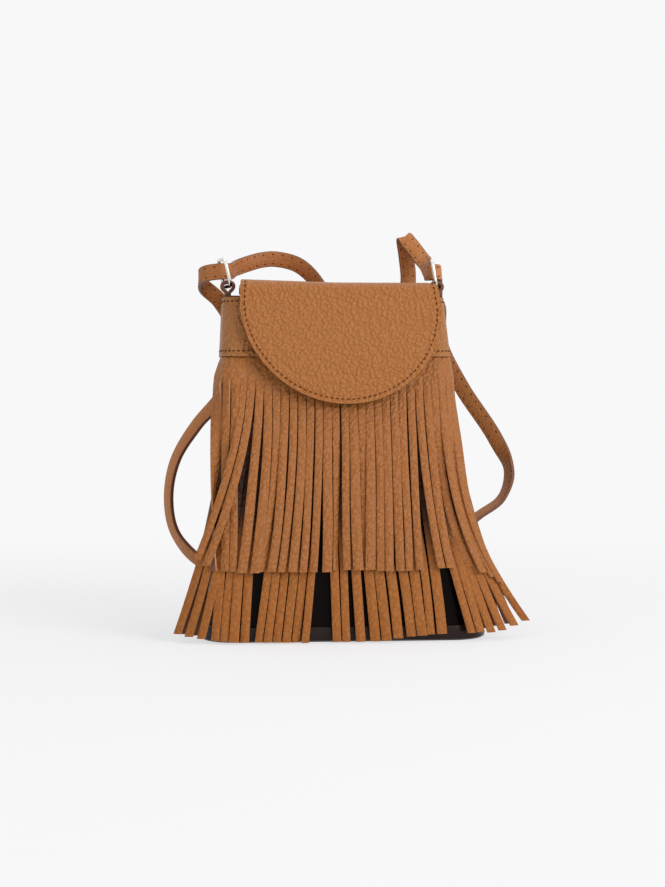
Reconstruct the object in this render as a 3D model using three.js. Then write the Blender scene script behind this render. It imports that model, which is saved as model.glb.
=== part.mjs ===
// Small crossbody bag in pebbled leather, with two tiers of slit fringe.
// Millimetres, +Z up. The bag stands on Z = 0 and its front faces -Y.
import * as THREE from 'three';

// Driving dimensions of the body, all on the outer face of the leather.
const rimHeight = 208;
const topHeight = rimHeight + 9;
const baseHalfWidth = 90;
const rimHalfWidth = 68.5;
const baseFront = -40;
const rimFront = -10;
const baseCorner = 25;
const rimCorner = 11;
const flareCurve = 1.3;
const bulgeCurve = 2.4;
const slump = 4.5;

// Thickness of each material, and the gap between pieces that are sewn together.
const gap = 0.3;
const leather = 1.6;
const fringeLeather = 1.4;
const wallLeather = 1.4;
const backLeather = 1.8;
const fabric = 0.8;
const board = 1.5;

// Back panel and the heights of the horizontal seams.
const backOuter = 39.6;
const yokeSeam = rimHeight - 33.5;
const yokeLap = 3;
const slitTop = yokeSeam - 19.5;
const upperEnd = 44;
const lowerSeam = slitTop - 23;
const lowerSlitTop = lowerSeam - 19;
const lowerEnd = 1.5;

// Fringe: strips in each tier and how far they stand off and spread at their ends.
const stripCount = 30;
const stripPitch = 5.2;
const slitWidth = 0.5;
const upperSpread = 0.17;
const upperStandOff = 4.5;
const lowerSpread = 0.26;
const lowerStandOff = 5;
const endFlare = 2;

// Base plate, stiffener and the band that binds the foot of the walls.
const basePlate = 2;
const bandHeight = 9.5;
const bandLift = 0.6;
const bandLeather = 1.2;

// Mouth facing and lining.
const facingBottom = rimHeight - 30;
const facingLeather = 1.2;
const liningTop = rimHeight - 24;

// Flap: half-widths of the top panel, of the fold and of the half-round, and the hinge line.
const topPanelHalf = 57;
const flapHalfWidth = 60;
const flapRadius = 61.5;
const flapCentre = -2.4;
const flapLean = 0.05;
const flapLeather = 1.8;
const flapEnd = 143;
const hingeHeight = rimHeight + 3;

// Hidden magnetic snap.
const snapRadius = 7;
const snapDisc = 1.2;
const snapHeight = yokeSeam + 9.5;

// Side tabs and the rings that the strap runs through.
const tabWidth = 9;
const tabLoopWidth = 9.5;
const tabLoopTop = rimHeight + 11;
const tabTail = 13;
const tabY = 10;
const ringWire = 1.1;
const ringWidth = 14.8;
const ringHeight = 17;
const ringCorner = (ringWidth - tabWidth) / 2 + 1;

// Strap section and the sewn chapes that hold its two ends.
const strapWidth = 10;
const strapThickness = 2.4;
const chapeWidth = 14;
const chapeHeight = 16;
const chapeThickness = 3.6;
const chapeX = 74;
const chapeBottom = 5.5;

const tan = new THREE.Color(0xa0622f);
const tanDark = new THREE.Color(0x8a5026);
const brown = new THREE.Color(0x24130d);
const liningColour = new THREE.Color(0x8c7a66);
const nickelColour = new THREE.Color(0xc9c7bd);

const leatherMaterial = new THREE.MeshStandardMaterial({ color: tan, roughness: 0.6, metalness: 0 });
const fringeMaterial = new THREE.MeshStandardMaterial({ color: tan, roughness: 0.65, metalness: 0 });
const strapMaterial = new THREE.MeshStandardMaterial({ color: tanDark, roughness: 0.6, metalness: 0 });
const wallMaterial = new THREE.MeshStandardMaterial({ color: brown, roughness: 0.25, metalness: 0 });
const liningMaterial = new THREE.MeshStandardMaterial({ color: liningColour, roughness: 0.9, metalness: 0 });
const boardMaterial = new THREE.MeshStandardMaterial({ color: liningColour, roughness: 0.95, metalness: 0 });
const nickelMaterial = new THREE.MeshStandardMaterial({ color: nickelColour, roughness: 0.25, metalness: 1 });

const bag = new THREE.Group();

// A closed mesh from a list of quads, each four Vector3, turned so that its faces point out.
function closedMesh(name, quads, material) {
  let volume = 0;
  const triangles = [];
  for (const [a, b, c, d] of quads) {
    triangles.push([a, b, c], [a, c, d]);
  }
  const cross = new THREE.Vector3();
  for (const [a, b, c] of triangles) {
    volume += a.dot(cross.crossVectors(b, c));
  }
  const positions = [];
  for (const triangle of triangles) {
    const ordered = volume < 0 ? [triangle[0], triangle[2], triangle[1]] : triangle;
    const [a, b, c] = ordered;
    const flat = a.distanceTo(b) < 1e-4 || b.distanceTo(c) < 1e-4 || c.distanceTo(a) < 1e-4;
    if (!flat) {
      positions.push(...a.toArray(), ...b.toArray(), ...c.toArray());
    }
  }
  const geometry = new THREE.BufferGeometry();
  geometry.setAttribute('position', new THREE.Float32BufferAttribute(positions, 3));
  geometry.computeVertexNormals();
  const mesh = new THREE.Mesh(geometry, material);
  mesh.name = name;
  return mesh;
}

// A sheet with thickness: two equal grids of points, joined round the edge.
// A wrapped sheet closes on itself along its columns.
function sheet(name, outer, inner, material, wrapped = false) {
  const quads = [];
  const rows = outer.length;
  const columns = outer[0].length;
  const last = wrapped ? columns : columns - 1;
  for (let r = 0; r < rows - 1; r += 1) {
    for (let c = 0; c < last; c += 1) {
      const n = (c + 1) % columns;
      quads.push([outer[r][c], outer[r][n], outer[r + 1][n], outer[r + 1][c]]);
      quads.push([inner[r][c], inner[r + 1][c], inner[r + 1][n], inner[r][n]]);
    }
    if (!wrapped) {
      quads.push([outer[r][0], outer[r + 1][0], inner[r + 1][0], inner[r][0]]);
      quads.push([outer[r][last], inner[r][last], inner[r + 1][last], outer[r + 1][last]]);
    }
  }
  for (let c = 0; c < last; c += 1) {
    const n = (c + 1) % columns;
    quads.push([outer[0][c], inner[0][c], inner[0][n], outer[0][n]]);
    quads.push([outer[rows - 1][c], outer[rows - 1][n], inner[rows - 1][n], inner[rows - 1][c]]);
  }
  return closedMesh(name, quads, material);
}

// The body's outline at a height: half-width, front, corner radius and sideways slump.
function outline(z) {
  const up = THREE.MathUtils.clamp(z / rimHeight, 0, 1);
  return {
    half: rimHalfWidth + (baseHalfWidth - rimHalfWidth) * (1 - up) ** flareCurve,
    front: baseFront + (rimFront - baseFront) * up ** bulgeCurve,
    corner: THREE.MathUtils.lerp(baseCorner, rimCorner, up),
    middle: -slump * up,
  };
}

// Points across the front and both sides at one height, from the back left to the back right.
const cornerSteps = 6;
function acrossFront(z, inset, backY) {
  const { half, front, corner, middle } = outline(z);
  const points = [new THREE.Vector3(middle - half + inset, backY, z)];
  for (const side of [-1, 1]) {
    for (let k = 0; k <= cornerSteps; k += 1) {
      const turn = (side < 0 ? k : cornerSteps - k) / cornerSteps * Math.PI / 2;
      const x = (half - corner) + (corner - inset) * Math.cos(turn);
      const y = front + corner - (corner - inset) * Math.sin(turn);
      points.push(new THREE.Vector3(middle + side * x, y, z));
    }
  }
  points.push(new THREE.Vector3(middle + half - inset, backY, z));
  return points;
}

// The point that lies s along the outline from the middle of the front, moved out by standOff.
function alongFront(s, z, standOff) {
  const { half, front, corner, middle } = outline(z);
  const side = Math.sign(s) || 1;
  const flat = half - corner;
  const past = Math.abs(s) - flat;
  const radius = corner + standOff;
  if (past <= 0) {
    return new THREE.Vector3(middle + s, front - standOff, z);
  }
  const turn = Math.min(past / corner, Math.PI / 2);
  const back = Math.max(past - corner * Math.PI / 2, 0);
  const x = flat + radius * Math.sin(turn);
  const y = front + corner - radius * Math.cos(turn) + back;
  return new THREE.Vector3(middle + side * x, y, z);
}

function heights(low, high, count) {
  return Array.from({ length: count + 1 }, (_, k) => THREE.MathUtils.lerp(low, high, k / count));
}

// A wall that wraps the front and both sides, its ends butting on the back panel.
function wrapWall(name, low, high, inset, thickness, rows, material) {
  const end = backOuter - backLeather - gap;
  const levels = heights(low, high, rows);
  const outer = levels.map((z) => acrossFront(z, inset, end));
  const inner = levels.map((z) => acrossFront(z, inset + thickness, end));
  return sheet(name, outer, inner, material);
}

const fringeInset = leather + gap;
const wallInset = fringeInset + fringeLeather + 2 * gap;
const insideInset = wallInset + wallLeather + gap;

const yoke = wrapWall('yoke', yokeSeam - yokeLap, rimHeight, 0, leather, 5, leatherMaterial);
const wallBottom = basePlate + gap;
const lowerWall = wrapWall('lower_wall', wallBottom, yokeSeam + yokeLap, wallInset, wallLeather, 9, wallMaterial);
bag.add(yoke, lowerWall);

// Back panel: one flat piece from the foot of the bag to the hinge line of the flap.
function backPanel() {
  const bandTop = bandHeight + gap;
  const levels = [wallBottom, bandTop, ...heights(2 * bandTop, rimHeight, 8), hingeHeight];
  const row = (z, y) => {
    const { half, middle } = outline(z);
    const reach = half - (z > bandTop ? fringeInset : wallInset);
    return [new THREE.Vector3(middle - reach, y, z), new THREE.Vector3(middle + reach, y, z)];
  };
  const outer = levels.map((z) => row(z, backOuter));
  const inner = levels.map((z) => row(z, backOuter - backLeather));
  return sheet('back_panel', outer, inner, leatherMaterial);
}
bag.add(backPanel());

// Closed outline for the pieces that run all the way round.
function loop(z, inset, backY) {
  return acrossFront(z, inset, backY);
}

// A flat plate on the closed outline.
function plate(name, low, high, inset, backY, material) {
  const bottom = loop(low, inset, backY);
  const top = bottom.map((p) => new THREE.Vector3(p.x, p.y, high));
  const centre = (points) => points.reduce((sum, p) => sum.add(p), new THREE.Vector3()).divideScalar(points.length);
  const low0 = centre(bottom);
  const high0 = centre(top);
  const quads = [];
  for (let k = 0; k < bottom.length; k += 1) {
    const n = (k + 1) % bottom.length;
    quads.push([bottom[k], bottom[n], top[n], top[k]]);
    quads.push([low0, bottom[n], bottom[k], low0]);
    quads.push([high0, top[k], top[n], high0]);
  }
  return closedMesh(name, quads, material);
}
const insideBack = backOuter - backLeather - gap;
bag.add(plate('base_panel', 0, basePlate, wallInset + gap, backOuter, wallMaterial));
const boardLow = basePlate + gap;
bag.add(plate('base_board', boardLow, boardLow + board, insideInset + gap, insideBack, boardMaterial));

function baseBand() {
  const levels = heights(bandLift, bandHeight, 2);
  const inner = levels.map((z) => loop(z, wallInset - gap, backOuter + gap));
  const outer = levels.map((z) => loop(z, wallInset - gap - bandLeather, backOuter + gap + bandLeather));
  return sheet('base_band', outer, inner, wallMaterial, true);
}
bag.add(baseBand());

// Lining: one bag of fabric, open at the top.
function lining() {
  const floor = boardLow + board + gap;
  const inset = insideInset + gap;
  const levels = heights(floor, liningTop, 8);
  const outer = levels.map((z) => loop(z, inset, insideBack - gap));
  const innerLevels = heights(floor + fabric, liningTop, 8);
  const inner = innerLevels.map((z) => loop(z, inset + fabric, insideBack - gap - fabric));
  const quads = [];
  const count = outer[0].length;
  const centre = (points) => points.reduce((sum, p) => sum.add(p), new THREE.Vector3()).divideScalar(count);
  const under = centre(outer[0]);
  const over = centre(inner[0]);
  const top = outer.length - 1;
  for (let c = 0; c < count; c += 1) {
    const n = (c + 1) % count;
    for (let r = 0; r < top; r += 1) {
      quads.push([outer[r][c], outer[r][n], outer[r + 1][n], outer[r + 1][c]]);
      quads.push([inner[r][c], inner[r + 1][c], inner[r + 1][n], inner[r][n]]);
    }
    quads.push([under, outer[0][n], outer[0][c], under]);
    quads.push([over, inner[0][c], inner[0][n], over]);
    quads.push([outer[top][c], outer[top][n], inner[top][n], inner[top][c]]);
  }
  return closedMesh('lining', quads, liningMaterial);
}
bag.add(lining());

// Leather facing inside the mouth. It leaves room for the tails of the tabs at the rim
// and laps over the lining's top edge at its foot.
const tabThickness = 2 * leather;
const facingTopInset = leather + gap + tabThickness + 2 * gap;
const facingFootInset = insideInset + 3 * gap + fabric;
function mouthFacing() {
  const levels = [facingBottom, ...heights(liningTop, rimHeight, 3)];
  const rise = (z) => Math.max(z - liningTop, 0) / (rimHeight - liningTop);
  const insetAt = (z) => THREE.MathUtils.lerp(facingFootInset, facingTopInset, rise(z));
  const backAt = (z) => insideBack - (2 * gap + fabric) * (1 - rise(z));
  const outer = levels.map((z) => loop(z, insetAt(z), backAt(z)));
  const inner = levels.map((z) => loop(z, insetAt(z) + facingLeather, backAt(z) - facingLeather));
  return sheet('mouth_facing', outer, inner, leatherMaterial, true);
}
bag.add(mouthFacing());

// A fringe tier: a leather band slit into strips from its lower edge. Each slit is a knife cut
// that starts at a point, so the band and the strips are one piece.
function fringeTier(name, { top, slit, end, spread, standOff, inset }) {
  const half = stripCount / 2;
  const bandRows = heights(top, slit, 2);
  const stripRows = heights(slit, end, 5);
  const place = (edge, shift, z, depth) => {
    const fall = z > slit ? 0 : (slit - z) / (slit - end);
    const s = (edge - half) * stripPitch * (1 + spread * fall) + shift;
    const ease = Math.min(fall * 4, 1) * inset;
    const flare = 1 + endFlare * (Math.abs(edge - half) / half) ** 4;
    return alongFront(s, z, ease + standOff * flare * fall - inset - depth * fringeLeather);
  };
  const quads = [];
  for (let i = 0; i < stripCount; i += 1) {
    const corner = (side, z, depth) => {
      const cut = z < slit ? slitWidth / 2 : 0;
      return place(i + side, side === 0 ? cut : -cut, z, depth);
    };
    const rows = [...bandRows, ...stripRows.slice(1)];
    for (let r = 0; r < rows.length - 1; r += 1) {
      const [a, b] = [rows[r], rows[r + 1]];
      quads.push([corner(0, a, 0), corner(0, b, 0), corner(1, b, 0), corner(1, a, 0)]);
      quads.push([corner(0, a, 1), corner(1, a, 1), corner(1, b, 1), corner(0, b, 1)]);
      const free = a <= slit;
      if (free || i === 0) {
        quads.push([corner(0, a, 0), corner(0, a, 1), corner(0, b, 1), corner(0, b, 0)]);
      }
      if (free || i === stripCount - 1) {
        quads.push([corner(1, a, 0), corner(1, b, 0), corner(1, b, 1), corner(1, a, 1)]);
      }
    }
    quads.push([corner(0, top, 0), corner(1, top, 0), corner(1, top, 1), corner(0, top, 1)]);
    quads.push([corner(0, end, 0), corner(0, end, 1), corner(1, end, 1), corner(1, end, 0)]);
  }
  return closedMesh(name, quads, fringeMaterial);
}
bag.add(fringeTier('upper_fringe', {
  top: yokeSeam + yokeLap, slit: slitTop, end: upperEnd,
  spread: upperSpread, standOff: upperStandOff, inset: fringeInset,
}));
bag.add(fringeTier('lower_fringe', {
  top: lowerSeam, slit: lowerSlitTop, end: lowerEnd,
  spread: lowerSpread, standOff: lowerStandOff - fringeInset, inset: fringeInset,
}));

// Flap: a flat pattern bent along one profile, from the hinge over the top and down the front.
const snapStack = 5 * gap + 2 * snapDisc;
const flapStandOff = snapStack + fabric + flapLeather + gap;
const frontAt = (z) => outline(z).front - flapStandOff;
const flapProfile = new THREE.CatmullRomCurve3([
  new THREE.Vector3(0, backOuter, hingeHeight + 4 * gap),
  new THREE.Vector3(0, backOuter - 1, topHeight - 2),
  new THREE.Vector3(0, backOuter - 4.5, topHeight - 0.5),
  new THREE.Vector3(0, (backOuter + rimFront) / 2, topHeight - 0.2),
  new THREE.Vector3(0, rimFront + 3, topHeight),
  new THREE.Vector3(0, frontAt(rimHeight) + 1.6, topHeight - 2.6),
  new THREE.Vector3(0, frontAt(rimHeight - 3), rimHeight - 2),
  new THREE.Vector3(0, frontAt(190), 190),
  new THREE.Vector3(0, frontAt(174), 174),
  new THREE.Vector3(0, frontAt(158) + 0.6, 158),
  new THREE.Vector3(0, frontAt(flapEnd) + 1.4, flapEnd),
], false, 'centripetal');

const flapLength = flapProfile.getLength();
const roundCentre = flapLength - flapRadius;
const foldAt = backOuter - rimFront + 4;
const bend = [1.5, 3, 4.5, 6, 7.5, 9];
const liningStart = 8;
function flapSheet(name, nearSide, farSide, margin, edge, material) {
  const distances = [edge, ...bend.filter((d) => d > edge), 15, 30, foldAt - 6, foldAt - 3, foldAt, foldAt + 3, foldAt + 6, foldAt + 10, roundCentre];
  for (let k = 1; k <= 9; k += 1) {
    distances.push(roundCentre + (flapRadius - margin) * Math.sin(k / 9 * Math.PI / 2 * 0.97));
  }
  const row = (distance, depth) => {
    const u = distance / flapLength;
    const point = flapProfile.getPointAt(u);
    const tangent = flapProfile.getTangentAt(u);
    const past = Math.max(distance - roundCentre, 0);
    const open = THREE.MathUtils.clamp((distance - foldAt) / (roundCentre - foldAt), 0, 1);
    const front = THREE.MathUtils.smoothstep(distance, foldAt - 6, foldAt + 2);
    const fold = THREE.MathUtils.lerp(topPanelHalf, flapHalfWidth, front);
    const widest = THREE.MathUtils.lerp(fold, flapRadius, open) - margin;
    const round = Math.sqrt(Math.max((flapRadius - margin) ** 2 - past ** 2, 0));
    const half = past > 0 ? round : widest;
    const start = THREE.MathUtils.lerp(-slump, flapCentre, front);
    const middle = start + flapLean * Math.max(distance - foldAt, 0);
    const y = point.y + tangent.z * depth;
    const z = point.z - tangent.y * depth;
    return [new THREE.Vector3(middle - half, y, z), new THREE.Vector3(middle + half, y, z)];
  };
  const inward = flapProfile.getTangentAt(0).z > 0 ? -1 : 1;
  const outer = distances.map((d) => row(d, inward * nearSide));
  const inner = distances.map((d) => row(d, inward * farSide));
  return sheet(name, outer, inner, material);
}
bag.add(flapSheet('flap_outer', 0, flapLeather, 0, 0, leatherMaterial));
bag.add(flapSheet('flap_lining', flapLeather + 2 * gap, flapLeather + 2 * gap + fabric, 1.5, liningStart, liningMaterial));

// Magnetic snap: the socket sits on the yoke and the stud on the flap's lining.
const snapSlope = Math.atan2(outline(snapHeight + 4).front - outline(snapHeight - 4).front, 8);
function snapHalf(name, distance) {
  const geometry = new THREE.CylinderGeometry(snapRadius, snapRadius, snapDisc, 24);
  const mesh = new THREE.Mesh(geometry, nickelMaterial);
  mesh.name = name;
  mesh.rotation.x = -snapSlope;
  const out = distance + snapDisc / 2;
  const { front, middle } = outline(snapHeight);
  mesh.position.set(middle, front - out * Math.cos(snapSlope), snapHeight + out * Math.sin(snapSlope));
  return mesh;
}
bag.add(snapHalf('snap_socket', gap));
bag.add(snapHalf('snap_stud', 2 * gap + snapDisc));

// Tab: a strip folded into a loop, its two ends sewn together and tucked inside the rim.
const tabX = (side) => side * (rimHalfWidth - leather - gap - tabThickness / 2) - slump;
function tab(name, side) {
  const tail = tabThickness / 2 - gap;
  const wide = tabLoopWidth / 2;
  const low = rimHeight + gap;
  const shape = new THREE.Shape();
  shape.moveTo(-tail, low - tabTail);
  shape.lineTo(tail, low - tabTail);
  shape.lineTo(tail, low);
  shape.quadraticCurveTo(wide, low + 0.5, wide, low + 4);
  shape.lineTo(wide, tabLoopTop - 5);
  shape.quadraticCurveTo(wide, tabLoopTop, 0, tabLoopTop);
  shape.quadraticCurveTo(-wide, tabLoopTop, -wide, tabLoopTop - 5);
  shape.lineTo(-wide, low + 4);
  shape.quadraticCurveTo(-wide, low + 0.5, -tail, low);
  shape.closePath();
  const hole = new THREE.Path();
  const inside = wide - leather;
  hole.moveTo(0, low + 2.4);
  hole.quadraticCurveTo(inside, low + 2.6, inside, low + 5);
  hole.lineTo(inside, tabLoopTop - 5.4);
  hole.quadraticCurveTo(inside, tabLoopTop - leather, 0, tabLoopTop - leather);
  hole.quadraticCurveTo(-inside, tabLoopTop - leather, -inside, tabLoopTop - 5.4);
  hole.lineTo(-inside, low + 5);
  hole.quadraticCurveTo(-inside, low + 2.6, 0, low + 2.4);
  shape.holes.push(hole);
  const geometry = new THREE.ExtrudeGeometry(shape, { depth: tabWidth, bevelEnabled: false, curveSegments: 4 });
  const mesh = new THREE.Mesh(geometry, leatherMaterial);
  mesh.name = name;
  mesh.rotation.x = Math.PI / 2;
  mesh.position.set(tabX(side), tabY + tabWidth / 2, 0);
  return mesh;
}
bag.add(tab('tab_left', -1), tab('tab_right', 1));

// Ring: round wire bent to a rectangle with round corners. Its lower bar lies in the tab.
class RingPath extends THREE.Curve {
  getPoint(t) {
    const flatWide = ringWidth - 2 * ringCorner;
    const flatHigh = ringHeight - 2 * ringCorner;
    const arc = ringCorner * Math.PI / 2;
    const lengths = [flatWide, arc, flatHigh, arc, flatWide, arc, flatHigh, arc];
    const total = lengths.reduce((sum, length) => sum + length, 0);
    let rest = (t % 1) * total;
    let side = 0;
    while (rest > lengths[side]) {
      rest -= lengths[side];
      side += 1;
    }
    const quarter = Math.floor(side / 2);
    const corners = [
      [flatWide / 2, ringCorner], [flatWide / 2, ringHeight - ringCorner],
      [-flatWide / 2, ringHeight - ringCorner], [-flatWide / 2, ringCorner],
    ];
    const starts = [
      [-flatWide / 2, 0], [ringWidth / 2, ringCorner],
      [flatWide / 2, ringHeight], [-ringWidth / 2, ringHeight - ringCorner],
    ];
    const heading = quarter * Math.PI / 2;
    if (side % 2 === 0) {
      const [y, z] = starts[quarter];
      return new THREE.Vector3(0, y + rest * Math.cos(heading), z + rest * Math.sin(heading));
    }
    const turn = heading - Math.PI / 2 + rest / ringCorner;
    const [y, z] = corners[quarter];
    return new THREE.Vector3(0, y + ringCorner * Math.cos(turn), z + ringCorner * Math.sin(turn));
  }
}
function ring(name, x, z, lean, yaw) {
  const geometry = new THREE.TubeGeometry(new RingPath(), 44, ringWire, 8, true);
  const mesh = new THREE.Mesh(geometry, nickelMaterial);
  mesh.name = name;
  mesh.rotation.y = lean;
  const turned = new THREE.Group();
  turned.position.set(x, tabY, z);
  turned.rotation.z = yaw;
  turned.add(mesh);
  return turned;
}
const degrees = Math.PI / 180;
const ringZ = tabLoopTop - leather - 4 * gap - ringWire;
const ringLeftLean = -14 * degrees;
const ringRightLean = -9 * degrees;
bag.add(ring('ring_left', tabX(-1), ringZ, ringLeftLean, 9 * degrees));
bag.add(ring('ring_right', tabX(1), ringZ, ringRightLean, -5 * degrees));

// Strap route. Each entry holds the place it goes by, the offset from there to the strap's
// centreline, and the direction of the strap's width.
const footY = backOuter;
const footZ = chapeBottom + chapeHeight;
const footLeft = new THREE.Vector3(-chapeX, footY, footZ);
const footRight = new THREE.Vector3(chapeX, footY, footZ);
const ringLeft = new THREE.Vector3(tabX(-1), tabY, ringZ);
const ringRight = new THREE.Vector3(tabX(1), tabY, ringZ);
const rear = new THREE.Vector3(-slump, backOuter, rimHeight);
function side(sign, share) {
  const foot = sign < 0 ? footLeft : footRight;
  const rim = new THREE.Vector3(sign * rimHalfWidth - slump, backOuter, rimHeight);
  return foot.clone().lerp(rim, share);
}
const strapRoute = [
  [footLeft, [0, 3.6, 0.5], [1, 0, 0]],
  [footLeft, [-0.4, 4.2, 8.5], [1, 0, 0.1]],
  [footLeft, [-5, 6.9, 16], [0.8, 0, 0.5]],
  [side(-1, 0.121), [-17.1, 11.2, 0], [0.6, -0.1, 0.7]],
  [side(-1, 0.206), [-29.2, 15.2, 0], [0.6, -0.7, 0.3]],
  [side(-1, 0.324), [-32.9, 16.2, 0], [0.6, -0.8, 0]],
  [side(-1, 0.453), [-28.5, 16.2, 0], [0.6, -0.75, -0.2]],
  [side(-1, 0.576), [-14.6, 14.2, 0], [0.6, -0.6, -0.4]],
  [side(-1, 0.678), [-1.7, 11.2, 0], [0.8, -0.4, -0.3]],
  [side(-1, 0.807), [4.7, 9.7, 0], [1, -0.1, 0]],
  [side(-1, 0.914), [4.6, 9.2, 0], [0.9, -0.3, 0.2]],
  [ringLeft, [-6.5, 32, -7.7], [0.4, -0.3, 0.8]],
  [ringLeft, [-14.5, 21, 1.3], [0.1, -0.1, 1]],
  [ringLeft, [-16.7, 11, 6.3], [0, 0, 1]],
  [ringLeft, [-13, 3, 8.3], [0, 0, 1]],
  [ringLeft, [-5.5, 0, 9.3], [0, 0, 1]],
  [ringLeft, [1, 1.2, 9.5], [0, 0, 1]],
  [ringLeft, [4.5, 7.5, 10], [0, 0, 1]],
  [ringLeft, [5.3, 21, 12.1], [0, 0, 1]],
  [rear, [-58.3, 5.9, 22.2], [0, 0, 1]],
  [rear, [-48.5, 14.2, 24.6], [0, 0, 1]],
  [rear, [-33.2, 16.2, 27], [0, 0, 1]],
  [rear, [-17.5, 15.7, 23], [0.4, 0, 1]],
  [rear, [-6, 14.7, 9.5], [0.9, 0, 0.6]],
  [rear, [1.5, 12.7, -10], [1, 0, 0.4]],
  [rear, [14.5, 11.2, -30], [0.6, 0, 0.8]],
  [rear, [32.5, 11.2, -32], [-0.4, 0, 0.9]],
  [rear, [46.5, 13.2, -12], [-1, 0, 0.4]],
  [rear, [51.5, 15.4, 14], [-1, 0, 0.1]],
  [rear, [50.8, 15.8, 35], [-1, 0, -0.1]],
  [rear, [51.5, 12.8, 41.6], [-0.95, 0, -0.35]],
  [rear, [55, 9.2, 36], [-0.83, 0, -0.55]],
  [rear, [62, 7, 22], [-0.75, 0, -0.6]],
  [ringRight, [-3.3, 31, 8.3], [-0.4, 0, -0.9]],
  [ringRight, [-5, 20, 6.5], [0, 0, -1]],
  [ringRight, [-5.9, 9.5, 8.9], [0, 0, -1]],
  [ringRight, [-1, 0.2, 9.5], [0, 0, -1]],
  [ringRight, [4.3, 0.6, 9.1], [0, 0, -1]],
  [ringRight, [6.9, 10.5, 6.3], [0, 0, -1]],
  [ringRight, [7.3, 26, 0.8], [0.1, 0, -1]],
  [side(1, 0.973), [3.9, 9.2, 0], [0.7, 0, -0.7]],
  [side(1, 0.861), [4.1, 12.7, 0], [1, 0, -0.2]],
  [side(1, 0.708), [17.1, 16.2, 0], [0.75, -0.3, 0.5]],
  [side(1, 0.525), [38.2, 18.2, 0], [0.8, -0.4, 0.4]],
  [side(1, 0.378), [46.4, 17.2, 0], [0.5, -0.85, -0.1]],
  [side(1, 0.29), [37.9, 15.2, 0], [0.2, -0.9, -0.3]],
  [side(1, 0.206), [18.1, 10.4, 0], [0.4, -0.5, -0.7]],
  [footRight, [3.5, 5.9, 16.5], [1, -0.2, -0.3]],
  [footRight, [0.4, 4.2, 8.5], [1, 0, 0]],
  [footRight, [0, 3.6, 0.5], [1, 0, 0]],
];

// The strap keeps its flat section square to the given width directions. Its sections follow
// the route's points, which lie closer together where it folds.
class StrapPath extends THREE.CatmullRomCurve3 {
  constructor(route) {
    super(route.map(([place, offset]) => new THREE.Vector3(...offset).add(place)), false, 'centripetal');
    this.widths = route.map(([, , width]) => new THREE.Vector3(...width).normalize());
  }

  getSpacedPoints(steps) {
    return this.getPoints(steps);
  }

  widthAt(t) {
    const place = t * (this.widths.length - 1);
    const k = Math.min(Math.floor(place), this.widths.length - 2);
    const ease = THREE.MathUtils.smoothstep(place - k, 0, 1);
    return this.widths[k].clone().lerp(this.widths[k + 1], ease);
  }

  computeFrenetFrames(steps) {
    const tangents = [];
    const normals = [];
    const binormals = [];
    for (let k = 0; k <= steps; k += 1) {
      const tangent = this.getTangent(k / steps);
      const width = this.widthAt(k / steps);
      const normal = width.addScaledVector(tangent, -width.dot(tangent)).normalize();
      tangents.push(tangent);
      normals.push(normal);
      binormals.push(new THREE.Vector3().crossVectors(tangent, normal));
    }
    return { tangents, normals, binormals };
  }
}
function strap() {
  const [w, t, chamfer] = [strapWidth / 2, strapThickness / 2, 0.6];
  const section = new THREE.Shape([
    new THREE.Vector2(-w, -t + chamfer), new THREE.Vector2(-w + chamfer, -t),
    new THREE.Vector2(w - chamfer, -t), new THREE.Vector2(w, -t + chamfer),
    new THREE.Vector2(w, t - chamfer), new THREE.Vector2(w - chamfer, t),
    new THREE.Vector2(-w + chamfer, t), new THREE.Vector2(-w, t - chamfer),
  ]);
  const steps = 2 * (strapRoute.length - 1);
  const geometry = new THREE.ExtrudeGeometry(section, { steps, extrudePath: new StrapPath(strapRoute) });
  const mesh = new THREE.Mesh(geometry, strapMaterial);
  mesh.name = 'strap';
  return mesh;
}
bag.add(strap());

// Chapes: folded leather sewn at the foot of the back panel, one at each end of the strap.
function chape(name, side) {
  const geometry = new THREE.BoxGeometry(chapeWidth, chapeThickness, chapeHeight);
  const mesh = new THREE.Mesh(geometry, leatherMaterial);
  mesh.name = name;
  const y = backOuter + bandLeather + 2 * gap + chapeThickness / 2;
  mesh.position.set(side * chapeX, y, chapeBottom + chapeHeight / 2);
  return mesh;
}
bag.add(chape('chape_left', -1), chape('chape_right', 1));

export default bag;
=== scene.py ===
# %% [markdown]
# # Fringed leather crossbody bag
# A small bag in tan pebbled leather with a rounded flap, two tiers of slit fringe over a dark glossy
# body, wire rings and a long thin strap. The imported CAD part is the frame: each piece below stands for
# one of its nodes, in the same place, and stitches are added. Units are metres, +Z is up, the front is -Y.

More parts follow.
